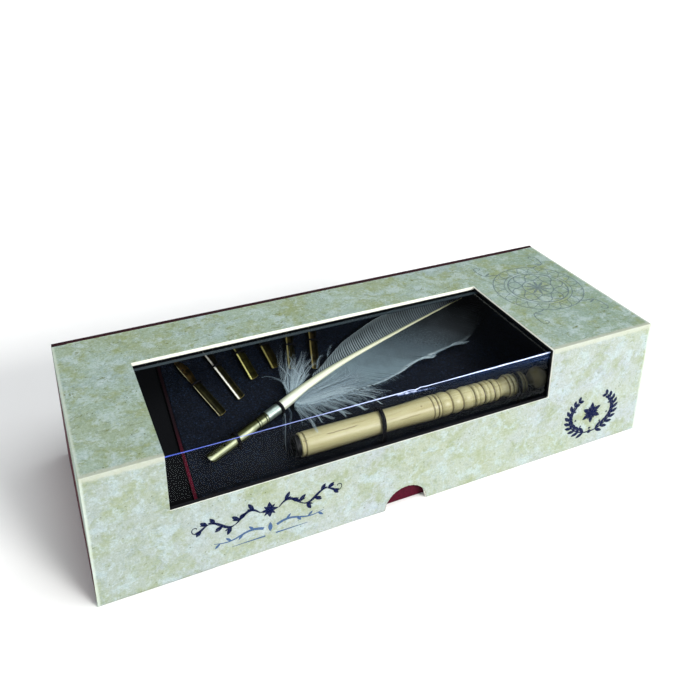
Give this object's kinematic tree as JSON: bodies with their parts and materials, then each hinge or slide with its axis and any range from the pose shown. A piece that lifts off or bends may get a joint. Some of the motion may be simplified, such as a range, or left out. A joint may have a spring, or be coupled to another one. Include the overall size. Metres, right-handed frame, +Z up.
{
  "type": "calligraphy set box",
  "caption": "Slant-cut hinged display box with an L-shaped window over top and front, holding a feather pen, loose brass nibs and a turned wooden pen holder on a sloping platform.",
  "frame": {"origin": "middle of the box's footprint, on the table", "axes": "+X along the length to the right as seen from the front, -Y the front, +Z up"},
  "size_m": [0.28, 0.103, 0.065],
  "materials": {
    "parchment_board": "stone-look printed paper over grey board, satin",
    "burgundy_board": "dark red fine-grain covering paper over grey board",
    "black_lining": "matt black lining paper",
    "hinge_cloth": "dark red book cloth",
    "clear_film": "clear glossy film",
    "grey_board": "bare grey board",
    "leatherette": "embossed dark navy leather-look covering",
    "nib_brass": "stamped and polished brass",
    "ferrule_silver": "satin silver sleeve",
    "quill": "cream horn-like feather shaft",
    "feather": "grey goose feather barbs",
    "turned_wood": "pale turned wood, clear satin",
    "black_socket": "black moulded socket",
    "black_elastic": "black round elastic"
  },
  "bodies": {
    "base": {"base_back_wall": "burgundy_board", "base_left_wall": "burgundy_board", "base_right_wall": "burgundy_board", "base_front_wall": "burgundy_board", "base_bottom_board": "burgundy_board", "hinge_cloth": "hinge_cloth", "platform_cover": "leatherette", "platform_board": "grey_board", "side_panel": "black_lining", "divider_strip": "burgundy_board", "rib_left_end": "grey_board", "rib_divider_left": "grey_board", "rib_divider_right": "grey_board", "rib_centre": "grey_board", "rib_right_end": "grey_board", "nib_loops": "black_elastic", "pen_ties": "black_elastic"},
    "lid": {"lid_top_panel": "parchment_board", "lid_front_panel": "parchment_board", "lid_left_gusset": "parchment_board", "lid_right_gusset": "parchment_board", "window_film": "clear_film", "lid_top_lining": "black_lining", "lid_front_lining": "black_lining", "hinge_flap": "hinge_cloth"},
    "holder": {"holder_handle": "turned_wood", "nib_socket": "black_socket"},
    "feather_pen": {"pen_nib": "nib_brass", "nib_collar": "nib_brass", "quill_ferrule": "ferrule_silver", "quill_shaft": "quill", "feather_upper_vane": "feather", "feather_lower_vane": "feather"},
    "nib_1_body": {"nib_1": "nib_brass"},
    "nib_2_body": {"nib_2": "nib_brass"},
    "nib_3_body": {"nib_3": "nib_brass"},
    "nib_4_body": {"nib_4": "nib_brass"},
    "nib_5_body": {"nib_5": "nib_brass"},
    "nib_6_body": {"nib_6": "nib_brass"}
  },
  "joints": [
    {"name": "lid_hinge", "type": "hinge", "parent": "base", "child": "lid", "pos_m": [0, 0.04875, 0.065], "axis": [-1, 0, 0], "range_deg": [0, 115]},
    {"name": "holder_slide", "type": "slide", "parent": "base", "child": "holder", "axis": [1, 0, 0], "range_m": [-0.015, 0.02]},
    {"name": "pen_slide", "type": "slide", "parent": "base", "child": "feather_pen", "axis": [0.9245, 0.3532, 0.143], "range_m": [-0.003, 0.008]},
    {"name": "nib_1_slide", "type": "slide", "parent": "base", "child": "nib_1_body", "axis": [0.3584, -0.8654, -0.3503], "range_m": [0, 0.01]},
    {"name": "nib_2_slide", "type": "slide", "parent": "base", "child": "nib_2_body", "axis": [0.2874, -0.8878, -0.3594], "range_m": [0, 0.01]},
    {"name": "nib_3_slide", "type": "slide", "parent": "base", "child": "nib_3_body", "axis": [0.1478, -0.9167, -0.3711], "range_m": [0, 0.012]},
    {"name": "nib_4_slide", "type": "slide", "parent": "base", "child": "nib_4_body", "axis": [0.1045, -0.9218, -0.3732], "range_m": [0, 0.012]},
    {"name": "nib_5_slide", "type": "slide", "parent": "base", "child": "nib_5_body", "axis": [-0.2588, -0.8953, -0.3625], "range_m": [0, 0.008]},
    {"name": "nib_6_slide", "type": "slide", "parent": "base", "child": "nib_6_body", "axis": [-0.2672, -0.8932, -0.3616], "range_m": [0, 0.0025]}
  ]
}
